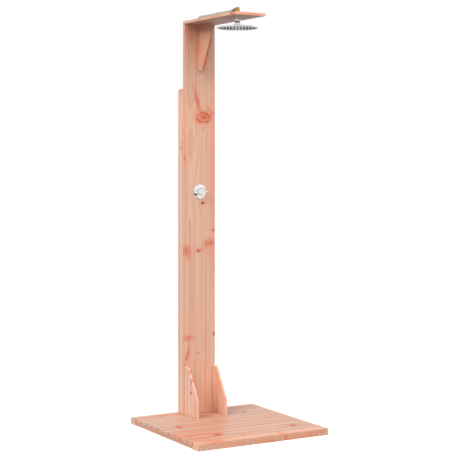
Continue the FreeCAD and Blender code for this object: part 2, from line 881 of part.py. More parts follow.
def ball_seat_ring():
    """Slippery ring between ball and collar, with round faces about the ball's middle."""
    inner = ball_radius + ball_room
    outer = ball_radius + seat_thickness + ball_room
    steps = [
        arc_point(outer, -seat_half_angle),
        ((outer, 0), arc_point(outer, seat_half_angle)),
        arc_point(inner, seat_half_angle),
        ((inner, 0), arc_point(inner, -seat_half_angle)),
    ]
    return turned(arc_point(inner, -seat_half_angle), steps, V(0, head_y, ball_z))


# ------------------------------------------------------------------ rain head
# Heights in these profiles are counted from the middle of the ball.
socket_radius = ball_radius + seat_thickness + 2 * ball_room
collar_bore = socket_radius + ball_room
rim_bottom = -head_bottom
rim_top = rim_bottom + rim_height
plate_bottom = rim_bottom + plate_recess
plate_top = plate_bottom + plate_thickness
mat_top = plate_top + mat_thickness
plate_radius = head_radius - rim_lip
mat_radius = plate_radius - rim_lip


def head_collar():
    """Nut round the ball: a round outside and mouth, so that it tilts clear of the neck."""
    opening = arc_point(socket_radius, collar_opening_angle)
    mouth_angle = math.degrees(math.acos(collar_mouth_radius / collar_radius))
    mouth = arc_point(collar_radius, mouth_angle)
    steps = [
        (collar_radius, 0), (arc_point(collar_radius, mouth_angle / 2), mouth), opening,
        (arc_point(socket_radius, collar_opening_angle / 2), (socket_radius, 0)),
        (collar_bore, 0), (collar_bore, -collar_skirt),
    ]
    return turned((collar_radius, -collar_skirt), steps, V(0, head_y, ball_z))


def head_shell():
    """Thin dome that closes the socket from below and holds the plate and the mat."""
    boss = collar_bore - thread_room
    cup_angle = -math.degrees(math.asin(cup_edge_drop / socket_radius))
    way_angle = -math.degrees(math.acos(water_way / socket_radius))
    dome_top = (shell_shoulder, -collar_skirt - shoulder_height)
    dome_end = (head_radius - rim_round, rim_top)
    hollow_top = (shell_shoulder, dome_top[1] - shell_wall)
    hollow_end = (mat_radius - mat_land, mat_top + plate_recess)
    rim_side = (head_radius, rim_top - rim_round)
    steps = [
        (arc_point(socket_radius, (cup_angle + way_angle) / 2), arc_point(socket_radius, cup_angle)),
        (boss, -cup_edge_drop), (boss, -collar_skirt), (shell_shoulder, -collar_skirt), dome_top,
        (bend_via(dome_top, (1, 0), dome_end), dome_end),
        (bend_via(rim_side, (0, 1), dome_end), rim_side),
        (head_radius, rim_bottom), (plate_radius, rim_bottom), (plate_radius, plate_top),
        (mat_radius, plate_top), (mat_radius, mat_top), (hollow_end[0], mat_top), hollow_end,
        (bend_via(hollow_top, (1, 0), hollow_end), hollow_top), (water_way, hollow_top[1]),
    ]
    return turned(arc_point(socket_radius, way_angle), steps, V(0, head_y, ball_z))


def nozzle_places():
    """A nozzle in the middle, and rings that each hold six more than the last."""
    places = [(0.0, 0.0)]
    for number in range(1, nozzle_rings + 1):
        count = nozzles_per_ring * number
        for k in range(count):
            angle = 2 * math.pi * k / count
            radius = nozzle_pitch * number
            places.append((radius * math.cos(angle), radius * math.sin(angle)))
    return places


def face_plate():
    base = V(0, head_y, ball_z + plate_bottom)
    plate = rod(plate_radius - thread_room, plate_thickness, base)
    holes = [
        rod(nozzle_radius + thread_room, plate_thickness, base + V(x, y, 0))
        for x, y in nozzle_places()
    ]
    return plate.cut(holes)


def nozzle_mat():
    """Soft mat above the plate, whose nozzles stand out through the plate's holes."""
    base = V(0, head_y, ball_z + plate_top)
    reach = plate_thickness + nozzle_drop
    nozzle = turned(
        (0, 0),
        [(nozzle_radius, 0), (nozzle_radius, plate_thickness), (nozzle_tip_radius, reach), (0, reach)],
        axis=DOWN,
    )
    mat = rod(mat_radius - thread_room, mat_thickness, base)
    nozzles = []
    bores = []
    for x, y in nozzle_places():
        at = base + V(x, y, 0)
        nozzles.append(nozzle.translated(at))
        bores.append(rod(nozzle_bore, mat_thickness + reach, at - Z_AXIS * reach))
    return mat.fuse(nozzles).cut(bores)


def neck_and_head():
    parts = {"roof_elbow": roof_elbow(), "neck_coupling": neck_coupling()}
    washer_z = roof_underside - nipple_reach - neck_washer_thickness
    parts["neck_washer"] = ring(
        nipple_radius, elbow_bore, neck_washer_thickness, V(0, head_y, washer_z)
    )
    parts["ball_nipple"] = ball_nipple()
    parts["ball_seat_ring"] = ball_seat_ring()
    parts["head_collar"] = head_collar()
    parts["head_shell"] = head_shell()
    parts["face_plate"] = face_plate()
    parts["nozzle_mat"] = nozzle_mat()
    return parts


# ------------------------------------------------------------------ whole part
def build():
    parts = {
        "joist_screws": joist_screws(),
        "slat_screws": slat_screws(),
        "base_screws": base_screws(),
        "front_board_screws": front_board_screws(),
        "roof_screws": roof_screws(),
        "brace_screws": brace_screws(),
        "clip_screws": clip_screws(),
    }
    for name, solid in {**tray(), **post()}.items():
        parts[name] = drilled(solid)
    parts.update(valve())
    parts.update(riser())
    parts.update(neck_and_head())
    return parts


def export(parts):
    os.makedirs("parts", exist_ok=True)
    for name, shape in parts.items():
        shape.exportStep(f"parts/{name}.step")


export(build())
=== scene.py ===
import json
import math
import random
from collections import namedtuple

import bpy
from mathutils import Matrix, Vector


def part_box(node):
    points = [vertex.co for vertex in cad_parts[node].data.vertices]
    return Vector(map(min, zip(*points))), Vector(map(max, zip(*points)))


# Looks of the outdoor shower post: fir boards with knots, chrome, brass, rubber and zinc,
# a pale floor, soft light and the camera. Lengths are in metres, and the marks on the
# boards are in millimetres.

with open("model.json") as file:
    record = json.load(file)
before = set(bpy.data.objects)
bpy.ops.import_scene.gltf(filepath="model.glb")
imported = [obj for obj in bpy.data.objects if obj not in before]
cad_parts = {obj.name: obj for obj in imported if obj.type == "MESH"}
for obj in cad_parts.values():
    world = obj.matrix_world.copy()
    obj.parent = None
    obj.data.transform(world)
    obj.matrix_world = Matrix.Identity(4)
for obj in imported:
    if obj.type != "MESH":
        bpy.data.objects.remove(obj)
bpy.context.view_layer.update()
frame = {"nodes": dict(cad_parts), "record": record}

MM = 0.001

# Detail of the noises: broad ones, fine ones, and the spots on the chrome.
BROAD_DETAIL = 2.0
FINE_DETAIL = 3.0
SPOT_DETAIL = 4.0

# ------------------------------------------------------------------ camera and light
# Place, heading in degrees, focal length and sensor in millimetres, and upward shift in
# frame widths.
CAMERA_PLACE = (-3.0735, -5.3696, 1.3109)
CAMERA_HEADING = -29.905
CAMERA_LENS = 99.9
CAMERA_SENSOR = 36.0
CAMERA_SHIFT = -0.155

# Soft boxes: name, place, aim, width and power in watts.
SOFT_BOXES = (
    ("left_box", (-8.2, -1.8, 8.1), (0.0, 0.2, 1.2), 6.8, 1060.0),
    ("front_box", (0.7, -8.9, 6.3), (0.0, 0.28, 1.3), 6.8, 700.0),
)

# Sky: its strength as light, and its colours from the horizon up, as (height, colour), for
# the light and for what polished pieces mirror.
SKY_STRENGTH = 0.5
SKY_TONES = ((0.0, (0.55, 0.55, 0.56)), (0.35, (0.85, 0.85, 0.86)), (1.0, (1.0, 1.0, 1.0)))
SKY_MIRRORED = ((0.0, (0.85, 0.86, 0.88)), (0.12, (0.72, 0.73, 0.75)), (0.4, (1.0, 1.0, 1.0)))
# The strength at which what glows is seen as white.
WHITE = 1.0

# Floor: half its width, the tone that it shows, a glow that lifts its shadow, the distances
# between which it turns white, and the tone with which it lights the object.
FLOOR_HALF = 60.0
FLOOR_SEEN = 0.95
FLOOR_LIFT = 0.25
FLOOR_WHITE = (0.9, 3.5)
FLOOR_BOUNCE = 0.27
# What polished pieces mirror of the floor: bright in front, dimmer between two distances
# behind, and a dark patch beside the tray that ends between two distances from its middle.
MIRRORED_FRONT = 0.9
MIRRORED_BEHIND = 0.45
MIRROR_FADE = (1.0, 7.0)
DARK_PATCH_PLACE = (-1.25, -2.4, 0.0)
DARK_PATCH_REACH = (1.35, 1.85)
DARK_PATCH_TONE = 0.08

# ------------------------------------------------------------------ wood
WOOD_PALE = (0.77, 0.475, 0.345)
WOOD_MIDDLE = (0.73, 0.400, 0.275)
WOOD_LATE = (0.69, 0.305, 0.188)
WOOD_BEIGE = (0.70, 0.485, 0.370)
WOOD_PINK = (0.72, 0.310, 0.195)
KNOT_DEEP = (0.36, 0.030, 0.018)
KNOT_RED = (0.52, 0.055, 0.030)
KNOT_ORANGE = (0.72, 0.175, 0.090)

# Year rings: their width, and the scale on which the width varies.
RING_WIDTH = 0.0095
RING_UNEVEN = 45.0
# Colour through one year, as (share of the year, colour).
RING_STOPS = (
    (0.0, WOOD_MIDDLE), (0.15, WOOD_PALE), (0.45, WOOD_PALE),
    (0.75, WOOD_MIDDLE), (0.90, WOOD_LATE), (1.0, WOOD_MIDDLE),
)
# Noises: waves per metre across, through and along the grain, and for the first two how far
# they push the rings.
WANDER = ((5.0, 5.0, 0.9), 0.006)
WOBBLE = ((40.0, 40.0, 4.0), 0.001)
BEIGE_WAVES = (16.0, 16.0, 0.8)
PINK_WAVES = (75.0, 75.0, 0.8)
FIBRE_WAVES = (900.0, 900.0, 14.0)
# Where in its noise a beige patch or a pink streak begins and is full, and its cover.
BEIGE_EDGE, BEIGE_COVER = (0.42, 0.62), 0.5
PINK_EDGE, PINK_COVER = (0.46, 0.64), 0.7
# How much the fibres darken and lighten the colour.
FIBRE_SHADE = (0.90, 1.10)
# Surface: how far late wood stands out against the fibres, the roughness, and the height
# and strength of the relief.
RING_RELIEF = 0.35
WOOD_ROUGHNESS = (0.30, 0.44)
WOOD_RELIEF = (0.0003, 0.4)
# The pith: its reach to the side in half widths, and its depth from the board's middle.
PITH_ASIDE = 0.6
PITH_DEPTH = (0.045, 0.085)
# How far apart the boards lie in the noises, either way.
NOISE_SHIFT = 5
# The three lengths of the front board are sawn from one plank.
FRONT_PLANK = "front plank 1"

# A mark on a board: its place and half sizes across and along the grain, in millimetres
# of the row frame, its lean in degrees, and how strongly it shows. A swell has no colour
# and only bends the rings.
Mark = namedtuple(
    "Mark", "kind across along half_across half_along lean strength", defaults=(0.0, 1.0)
)

# Which axes run across the grain, through the board and along the grain.
GRAIN = {
    "front_board": "xyz",
    "side_board": "yxz",
    "gusset": "yxz",
    "roof_brace": "yxz",
    "roof_board": "xzy",
    "slat": "yzx",
    "front_beam": "zyx",
    "back_beam": "yzx",
    "joist": "xzy",
}

# Stops of each kind of mark: reach from its middle, colour, cover.
MARK_STOPS = {
    "knot": (
        (0.0, KNOT_DEEP, 0.9), (0.10, KNOT_RED, 1.0), (0.28, KNOT_RED, 1.0),
        (0.36, KNOT_DEEP, 0.9), (0.45, KNOT_RED, 0.9), (0.58, KNOT_ORANGE, 0.6),
        (0.8, KNOT_ORANGE, 0.2), (1.0, KNOT_ORANGE, 0.0),
    ),
    "ringed": (
        (0.0, KNOT_ORANGE, 0.7), (0.08, KNOT_RED, 0.9), (0.17, KNOT_ORANGE, 0.5),
        (0.24, KNOT_RED, 0.85), (0.31, KNOT_ORANGE, 0.5), (0.39, KNOT_RED, 1.0),
        (0.46, KNOT_RED, 0.9), (0.54, KNOT_ORANGE, 0.4), (0.75, KNOT_ORANGE, 0.12),
        (1.0, KNOT_ORANGE, 0.0),
    ),
    "flame": (
        (0.0, KNOT_RED, 0.9), (0.30, KNOT_ORANGE, 0.95), (0.55, KNOT_ORANGE, 0.45),
        (1.0, KNOT_ORANGE, 0.0),
    ),
}
# How much of a mark stays in its faintest places, and the noise that sets these.
MARK_FAINTEST = {"knot": 0.85, "ringed": 0.45, "flame": 0.6}
FAINT_SCALE = 95.0
FAINT_EDGE = (0.38, 0.56)
# A mark's stops run to this many of its half sizes, and its outline is this crooked.
MARK_SPAN = 2.2
CROOKED_SCALE = 45.0
CROOKED_REACH = 0.022
# A knot bends the rings this many times further than it reaches, by this share of its width.
BEND_ACROSS, BEND_ALONG = 1.8, 3.2
BEND_SHARE = 0.5
# Small marks on the boards that MARKS doesn't name: how many, half size, and how much less
# they reach along the grain.
STRAY_COUNT = (1, 2)
STRAY_HALF = (4, 8)
STRAY_SQUAT = 0.9
STRAY_STRENGTH = 0.6

MARKS = {
    "front_board_upper": (
        Mark("flame", -12, 1600, 9, 55, 18),
        Mark("ringed", 21, 1518, 38, 26),
        Mark("ringed", 32, 1522, 21, 11),
        Mark("flame", 21, 1518, 30, 20, 0, 0.35),
        Mark("flame", 0, 1495, 15, 5, 0, 0.9),
        Mark("flame", 8, 1540, 16, 4, 6, 0.9),
        Mark("flame", 63, 1552, 5, 26, 48, 0.9),
        Mark("flame", 21, 1461, 5, 10, 0, 0.6),
        Mark("knot", 16, 1089, 9, 7),
        Mark("flame", -83, 1310, 4, 16, 0, 0.8),
        Mark("flame", -58, 1957, 30, 8, 14, 0.45),
        Mark("flame", -52, 1920, 10, 26, -20, 0.4),
        Mark("flame", 84, 1300, 3, 330, 0, 0.6),
        Mark("swell", -28, 1130, 40, 190, 0, 0.7),
    ),
    "front_board_middle": (
        Mark("knot", 80, 950, 8, 5, 0, 0.9),
        Mark("flame", 62, 888, 18, 14, -28),
        Mark("flame", 36, 878, 10, 16, 30, 0.8),
        Mark("flame", 45, 845, 30, 26, 0, 0.3),
        Mark("flame", 0, 850, 14, 7, 22),
        Mark("knot", -7, 848, 8, 5, 20, 0.6),
        Mark("flame", -77, 851, 13, 18),
        Mark("flame", -66, 832, 26, 36, 0, 0.35),
        Mark("flame", 84, 780, 3, 120, 0, 0.6),
    ),
    "front_board_lower": (
        Mark("flame", -66, 419, 26, 4, 0, 0.9),
        Mark("flame", -66, 403, 24, 4, 0, 0.8),
        Mark("flame", -66, 411, 24, 12, 0, 0.4),
        Mark("knot", 84, 424, 6, 9),
        Mark("flame", -74, 317, 5, 46, -11),
        Mark("flame", -64, 345, 3, 22, 4, 0.7),
        Mark("knot", -11, 335, 4, 3.5, 0, 0.8),
    ),
    "side_board_left": (
        Mark("flame", 313, 1648, 7, 9),
        Mark("flame", 301, 1455, 3, 22, 0, 0.7),
        Mark("flame", 306, 1371, 4, 26),
        Mark("flame", 312, 1366, 14, 4, 0, 0.9),
        Mark("flame", 325, 866, 9, 3, 0, 0.7),
    ),
    "gusset_left": (
        Mark("flame", 232, 251, 8, 9),
        Mark("flame", 210, 208, 6, 24, 12),
        Mark("knot", 213, 149, 11, 6, 0, 0.9),
    ),
    "roof_brace": (
        Mark("flame", 273, 1872, 8, 36),
        Mark("flame", 275, 1940, 6, 20, 0, 0.7),
        Mark("flame", 236, 1772, 6, 30, 28, 0.4),
        Mark("flame", 203, 1832, 4, 60, 28, 0.8),
    ),
    "slat_01": (Mark("knot", 262, -225, 9, 8, 0, 0.6),),
    "slat_02": (
        Mark("knot", 188, 206, 12, 10, 0, 0.9),
        Mark("flame", 222, 40, 8, 16, 0, 0.5),
    ),
    "slat_05": (Mark("knot", 27, -251, 18, 11),),
    "slat_07": (
        Mark("flame", -76, 178, 12, 16, 0, 0.6),
        Mark("flame", -82, -290, 8, 50, 0, 0.7),
    ),
    "slat_08": (
        Mark("flame", -164, -255, 9, 95),
        Mark("flame", -132, -325, 12, 18, 0, 0.7),
    ),
    "slat_09": (
        Mark("knot", -211, -172, 18, 18),
        Mark("knot", -212, 242, 17, 16),
        Mark("flame", -196, -310, 8, 45, 0, 0.8),
    ),
    "slat_10": (
        Mark("flame", -272, -64, 14, 14),
        Mark("flame", -250, -300, 8, 60, 0, 0.8),
    ),
    "front_beam": (
        Mark("flame", 32, -240, 3, 50, 0, 0.7),
        Mark("flame", 32, 96, 4, 12, 0, 0.8),
        Mark("flame", 5, 44, 4, 26),
        Mark("flame", 12, 116, 10, 5),
    ),
    "back_beam": (
        Mark("flame", 306, -190, 16, 40, 0, 0.8),
        Mark("flame", 318, -80, 10, 25, 0, 0.7),
    ),
    "roof_board": (
        Mark("flame", -87, -195, 7, 22),
        Mark("flame", -87, -30, 5, 60, 0, 0.5),
        Mark("flame", -87, 150, 5, 90, 0, 0.4),
        Mark("flame", 0, -213, 95, 4, 0, 0.6),
    ),
}
# Tone of each kind of board against the front boards, for red, green and blue. It is partly the
# wood's own tone and partly painted light and shade: lighter on the side boards and gussets,
# darker and redder on the tray's boards and the brace.
TONES_AND_PAINTED_LIGHT = {
    "front_board": (1.0, 1.0, 1.0),
    "side_board": (1.06, 1.05, 1.05),
    "gusset": (1.06, 1.12, 1.13),
    "roof_board": (0.98, 1.0, 1.02),
    "roof_brace": (0.90, 0.86, 0.84),
    "slat": (0.81, 0.785, 0.77),
    "back_beam": (0.87, 0.83, 0.81),
    "front_beam": (1.0, 0.87, 0.78),
    "joist": (0.98, 0.90, 0.84),
}
# How far one board's colour strays from the next, for red, green and blue.
WARMTH = (0.02, 0.10, 0.16)
# Painted light: the faces that look along the grain, the sawn ends, are lightened by this tone
# against the other faces. A surface is an end where its normal lies along the grain by more than
# the second value, and a face below the first.
END_PAINTED_LIGHT = (1.22, 1.29, 1.30)
END_FACING = (0.8, 0.95)

# ------------------------------------------------------------------ metals, rubber and plastics
# Materials whose colour drifts between two: colours, scale of the grain, roughness, metallic
# and depth of the grain.
Mottled = namedtuple(
    "Mottled", "first second scale roughness metallic depth", defaults=(0.0, 0.00005)
)
MOTTLED = {
    "screw_steel": Mottled((0.58, 0.65, 0.69), (0.72, 0.79, 0.82), 900.0, (0.28, 0.45), 1.0),
    "brass": Mottled((0.62, 0.40, 0.12), (0.50, 0.31, 0.09), 700.0, (0.25, 0.42), 1.0),
    "nut_metal": Mottled((0.16, 0.17, 0.18), (0.26, 0.27, 0.28), 800.0, (0.30, 0.45), 0.9),
    "grey_plastic": Mottled(
        (0.30, 0.31, 0.27), (0.38, 0.39, 0.34), 1500.0, (0.5, 0.65), depth=0.0001
    ),
    "black_rubber": Mottled((0.015, 0.015, 0.015), (0.03, 0.03, 0.03), 1200.0, (0.55, 0.75)),
    "nozzle_rubber": Mottled((0.12, 0.125, 0.13), (0.20, 0.205, 0.21), 1200.0, (0.45, 0.65)),
    "white_plastic": Mottled((0.78, 0.78, 0.76), (0.84, 0.84, 0.82), 900.0, (0.35, 0.5)),
    "ceramic": Mottled((0.82, 0.81, 0.78), (0.88, 0.87, 0.84), 900.0, (0.12, 0.2)),
}
# The colour drifts on a coarser scale than the grain, by this share.
DRIFT_SHARE = 0.15
GRAIN_STRENGTH = 0.5
CHROME_TONE = (0.89, 0.90, 0.91)
CHROME_SPOTS = 120.0
CHROME_FILM = 9.0
CHROME_ROUGHNESS = (0.03, 0.10)
HOSE_TONES = ((0.30, 0.32, 0.265), (0.42, 0.44, 0.37))
HOSE_WAVES = (900.0, 40.0, 40.0)
HOSE_ROUGHNESS = (0.42, 0.6)
HOSE_RELIEF = (0.0001, 0.4)


# ------------------------------------------------------------------ node helpers
class Graph:
    """A node tree with one short call for each kind of node."""

    def __init__(self, tree):
        self.tree = tree

    def put(self, kind, inputs, **settings):
        """A new node. A value of inputs that is a socket is linked, any other is set."""
        node = self.tree.nodes.new("ShaderNode" + kind)
        for name, value in settings.items():
            setattr(node, name, value)
        for key, value in inputs.items():
            if isinstance(value, bpy.types.NodeSocket):
                self.tree.links.new(value, node.inputs[key])
            else:
                node.inputs[key].default_value = value
        return node

    def math(self, operation, *values):
        return self.put("Math", dict(enumerate(values)), operation=operation).outputs[0]

    def vector(self, operation, *values):
        return self.put("VectorMath", dict(enumerate(values)), operation=operation).outputs[0]

    def length(self, value):
        return self.put("VectorMath", {0: value}, operation="LENGTH").outputs["Value"]

    def stretched(self, place, scale):
        return self.vector("MULTIPLY", place, scale)

    def noise(self, place, scale, detail=BROAD_DETAIL):
        return self.put("TexNoise", {"Vector": place, "Scale": scale, "Detail": detail}).outputs[0]

    def remap(self, value, start, stop, low=0.0, high=1.0, **settings):
        """value, from start to stop, moved to between low and high."""
        inputs = {"Value": value, "From Min": start, "From Max": stop,
                  "To Min": low, "To Max": high}
        return self.put("MapRange", inputs, **settings).outputs[0]

    def between(self, factor, low, high):
        """factor, from 0 to 1, moved to between low and high."""
        return self.remap(factor, 0.0, 1.0, low, high)

    def grey(self, tone):
        return self.put("CombineColor", {0: tone, 1: tone, 2: tone}).outputs[0]

    def mix(self, factor, first, second, blend="MIX"):
        inputs = {0: factor, 6: first, 7: second}
        return self.put("Mix", inputs, data_type="RGBA", blend_type=blend).outputs[2]

    def ramp(self, factor, stops):
        """Colour and cover of a ramp through (place, colour) or (place, colour, cover)."""
        node = self.put("ValToRGB", {"Fac": factor})
        elements = node.color_ramp.elements
        while len(elements) < len(stops):
            elements.new(1.0)
        for element, (place, colour, *cover) in zip(elements, stops):
            element.position = place
            element.color = (*colour, *(cover or (1.0,)))
        return node.outputs

    def step(self, value, edge, cover):
        """Rises from nothing to cover between the two values of edge."""
        black, white = (0, 0, 0), (1, 1, 1)
        return self.math("MULTIPLY", self.ramp(value, ((edge[0], black), (edge[1], white)))[0],
                         cover)

    def bump(self, height, distance, strength=1.0):
        inputs = {"Height": height, "Distance": distance, "Strength": strength}
        return self.put("Bump", inputs).outputs[0]


def solid(colour):
    return (*colour, 1.0)


def new_material(name):
    """An empty material: its graph, the object's coordinates and its shader."""
    material = bpy.data.materials.new(name)
    material.use_nodes = True
    graph = Graph(material.node_tree)
    material.node_tree.nodes.clear()
    shader = graph.put("BsdfPrincipled", {})
    output = graph.put("OutputMaterial", {})
    material.node_tree.links.new(shader.outputs[0], output.inputs[0])
    place = graph.put("TexCoord", {}).outputs["Object"]
    return material, graph, shader, place


def wire(graph, shader, **sockets):
    """Links or sets the shader's sockets. An underscore in a name stands for a space."""
    for name, value in sockets.items():
        socket = shader.inputs[name.replace("_", " ")]
        if isinstance(value, bpy.types.NodeSocket):
            graph.tree.links.new(value, socket)
        else:
            socket.default_value = value


# ------------------------------------------------------------------ wood
def mark_reach(graph, point, mark):
    """Distance from a mark's middle, 1 at its edge."""
    middle = (mark.across * MM, 0.0, mark.along * MM)
    moved = graph.vector("SUBTRACT", point, middle)
    spin = {"Vector": moved, "Angle": math.radians(mark.lean), "Axis": (0.0, 1.0, 0.0)}
    leaned = graph.put("VectorRotate", spin, rotation_type="AXIS_ANGLE").outputs[0]
    scale = (1 / (mark.half_across * MM), 0.0, 1 / (mark.half_along * MM))
    return graph.length(graph.stretched(leaned, scale))


def mark_pull(graph, point, mark):
    """How far a mark pushes the year rings aside, in metres."""
    wide = mark
    if mark.kind != "swell":
        wide = mark._replace(half_across=mark.half_across * BEND_ACROSS,
                             half_along=mark.half_along * BEND_ALONG)
    reach = mark_reach(graph, point, wide)
    fall = graph.math("EXPONENT", graph.math("MULTIPLY", graph.math("POWER", reach, 2.0), -1.0))
    return graph.math("MULTIPLY", fall, mark.half_across * MM * mark.strength * BEND_SHARE)


def ring_radius(graph, given):
    """Distance from the pith as the rings see it, in metres."""
    flat = graph.vector("SUBTRACT", given["Point"], given["Pith"])
    radius = graph.length(graph.stretched(flat, (1.0, 1.0, 0.0)))
    own = graph.vector("ADD", given["Point"], given["Shift"])
    for waves, reach in (WANDER, WOBBLE):
        push = graph.noise(graph.stretched(own, waves), 1.0)
        radius = graph.math("ADD", radius, graph.between(push, -reach, reach))
    return graph.math("ADD", radius, given["Pull"])


def grain_group():
    """Node group: colour and height of planed fir at a point of a board."""
    tree = bpy.data.node_groups.new("fir_grain", "ShaderNodeTree")
    sockets = (("Point", "NodeSocketVector"), ("Pith", "NodeSocketVector"),
               ("Pull", "NodeSocketFloat"), ("Shift", "NodeSocketVector"))
    for name, kind in sockets:
        tree.interface.new_socket(name, in_out="INPUT", socket_type=kind)
    tree.interface.new_socket("Colour", in_out="OUTPUT", socket_type="NodeSocketColor")
    tree.interface.new_socket("Height", in_out="OUTPUT", socket_type="NodeSocketFloat")
    graph = Graph(tree)
    given = tree.nodes.new("NodeGroupInput").outputs
    made = tree.nodes.new("NodeGroupOutput").inputs
    own = graph.vector("ADD", given["Point"], given["Shift"])
    radius = ring_radius(graph, given)
    along_radius = {"W": radius, "Scale": RING_UNEVEN}
    uneven = graph.put("TexNoise", along_radius, noise_dimensions="1D").outputs[0]
    years = graph.math("ADD", graph.math("DIVIDE", radius, RING_WIDTH), uneven)
    season = graph.math("FRACT", years)
    colour = graph.ramp(season, RING_STOPS)[0]
    layers = ((BEIGE_WAVES, BEIGE_EDGE, BEIGE_COVER, WOOD_BEIGE),
              (PINK_WAVES, PINK_EDGE, PINK_COVER, WOOD_PINK))
    for waves, edge, cover, tone in layers:
        spread = graph.noise(graph.stretched(own, waves), 1.0, FINE_DETAIL)
        amount = graph.step(spread, edge, cover)
        colour = graph.mix(amount, colour, solid(tone))
    fibre = graph.noise(graph.stretched(own, FIBRE_WAVES), 1.0, FINE_DETAIL)
    shade = graph.grey(graph.between(fibre, *FIBRE_SHADE))
    colour = graph.mix(1.0, colour, shade, "MULTIPLY")
    height = graph.math("ADD", graph.math("MULTIPLY", season, RING_RELIEF), fibre)
    tree.links.new(colour, made["Colour"])
    tree.links.new(height, made["Height"])
    return tree


def of_kind(table, node):
    """The entry of a table that fits the kind of board."""
    return next(entry for kind, entry in table.items() if node.startswith(kind))


def board_axes(node):
    """Numbers of the axes that run across, through and along a board's grain."""
    return ["xyz".index(axis) for axis in of_kind(GRAIN, node)]


def place_in_log(node, dice):
    """Where a board was sawn: its pith, and what shifts its noises."""
    low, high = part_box(node)
    across, through, _ = board_axes(node)
    middle = (low + high) / 2
    half_width = (high[across] - low[across]) / 2
    pith = (
        middle[across] + dice.uniform(-PITH_ASIDE, PITH_ASIDE) * half_width,
        middle[through] + dice.choice((-1, 1)) * dice.uniform(*PITH_DEPTH),
        0.0,
    )
    shift = tuple(dice.uniform(-NOISE_SHIFT, NOISE_SHIFT) for _ in range(3))
    return pith, shift


def board_tone_and_light(node, dice):
    """Tone of one board, a little redder or paler at random than its kind; the kind's tone is
    partly painted light and shade.
    """
    warmth = dice.uniform(-0.5, 0.5)
    return [tone * (1 - warmth * part) for tone, part in zip(of_kind(TONES_AND_PAINTED_LIGHT, node), WARMTH)]


def stray_marks(node, dice):
    """Small marks for a board that has none in MARKS."""
    low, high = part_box(node)
    across, _, along = board_axes(node)
    marks = []
    for _ in range(dice.randint(*STRAY_COUNT)):
        at_across = dice.uniform(low[across], high[across]) / MM
        at_along = dice.uniform(low[along], high[along]) / MM
        half = dice.uniform(*STRAY_HALF)
        kind = dice.choice(("knot", "flame"))
        marks.append(Mark(kind, at_across, at_along, half, half * STRAY_SQUAT,
                          strength=STRAY_STRENGTH))
    return marks


def light_painted_on_ends(graph, colour, along):
    """Lightens the faces that look along the grain: painted light on the sawn ends."""
    normal = graph.put("TexCoord", {}).outputs["Normal"]
    lean = graph.math("ABSOLUTE", graph.put("SeparateXYZ", {0: normal}).outputs[along])
    pale = graph.mix(1.0, colour, solid(END_PAINTED_LIGHT), "MULTIPLY")
    return graph.mix(graph.remap(lean, *END_FACING), colour, pale)


def crooked(graph, place, point):
    """The point pushed about, so that a mark's outline isn't an ellipse."""
    scatter = {"Vector": place, "Scale": CROOKED_SCALE, "Detail": FINE_DETAIL}
    scatter = graph.put("TexNoise", scatter).outputs["Color"]
    scatter = graph.vector("SUBTRACT", scatter, (0.5, 0.5, 0.5))
    push = graph.vector("MULTIPLY", scatter, (CROOKED_REACH, CROOKED_REACH, CROOKED_REACH))
    return graph.vector("ADD", point, push)


def stained(graph, colour, place, point, marks):
    """The board's colour with its knots and flames over it."""
    faint = graph.remap(graph.noise(place, FAINT_SCALE), *FAINT_EDGE)
    point = crooked(graph, place, point)
    for mark in marks:
        if mark.kind == "swell":
            continue
        reach = graph.math("DIVIDE", mark_reach(graph, point, mark), MARK_SPAN)
        stain, cover = graph.ramp(reach, MARK_STOPS[mark.kind])
        kept = graph.between(faint, MARK_FAINTEST[mark.kind], 1.0)
        cover = graph.math("MULTIPLY", graph.math("MULTIPLY", cover, mark.strength), kept)
        colour = graph.mix(cover, colour, stain)
    return colour


def fir(node, grain):
    """The wood of one board, cut from its own place in the log, with its own marks."""
    material, graph, shader, place = new_material("fir_" + node)
    dice = random.Random(FRONT_PLANK if node.startswith("front_board") else node)
    pith, shift = place_in_log(node, dice)
    tone_and_light = board_tone_and_light(node, dice)
    marks = MARKS.get(node) or stray_marks(node, dice)
    order = board_axes(node)
    parts = graph.put("SeparateXYZ", {0: place}).outputs
    point = graph.put("CombineXYZ", {k: parts[axis] for k, axis in enumerate(order)}).outputs[0]
    pull = 0.0
    for mark in marks:
        if mark.kind != "flame":
            pull = graph.math("ADD", pull, mark_pull(graph, point, mark))
    inputs = {"Point": point, "Pith": pith, "Pull": pull, "Shift": shift}
    fibres = graph.put("Group", inputs, node_tree=grain).outputs
    # The board's tone, partly painted light and shade, multiplies the grain colour.
    colour = graph.mix(1.0, fibres["Colour"], solid(tone_and_light), "MULTIPLY")
    # Painted light: the sawn ends are lightened against the faces.
    colour = light_painted_on_ends(graph, colour, order[2])
    colour = stained(graph, colour, place, point, marks)
    rough = graph.between(fibres["Height"], *WOOD_ROUGHNESS)
    bumps = graph.bump(fibres["Height"], *WOOD_RELIEF)
    wire(graph, shader, Base_Color=colour, Roughness=rough, Normal=bumps, Specular_IOR_Level=0.5)
    return material


# ------------------------------------------------------------------ metals, rubber and plastics
def mottled(name, look):
    """A material whose colour drifts between two, with a fine grain in its surface."""
    material, graph, shader, place = new_material(name)
    drift = graph.noise(place, look.scale * DRIFT_SHARE, FINE_DETAIL)
    colour = graph.mix(drift, solid(look.first), solid(look.second))
    fine = graph.noise(place, look.scale, FINE_DETAIL)
    wire(graph, shader, Base_Color=colour, Roughness=graph.between(fine, *look.roughness),
         Normal=graph.bump(fine, look.depth, GRAIN_STRENGTH), Metallic=look.metallic)
    return material


def chrome():
    """Polished plating with faint water marks."""
    material, graph, shader, place = new_material("chrome")
    spots = graph.noise(place, CHROME_SPOTS, SPOT_DETAIL)
    film = graph.noise(place, CHROME_FILM)
    rough = graph.between(graph.math("MULTIPLY", spots, film), *CHROME_ROUGHNESS)
    wire(graph, shader, Base_Color=solid(CHROME_TONE), Metallic=1.0, Roughness=rough)
    return material


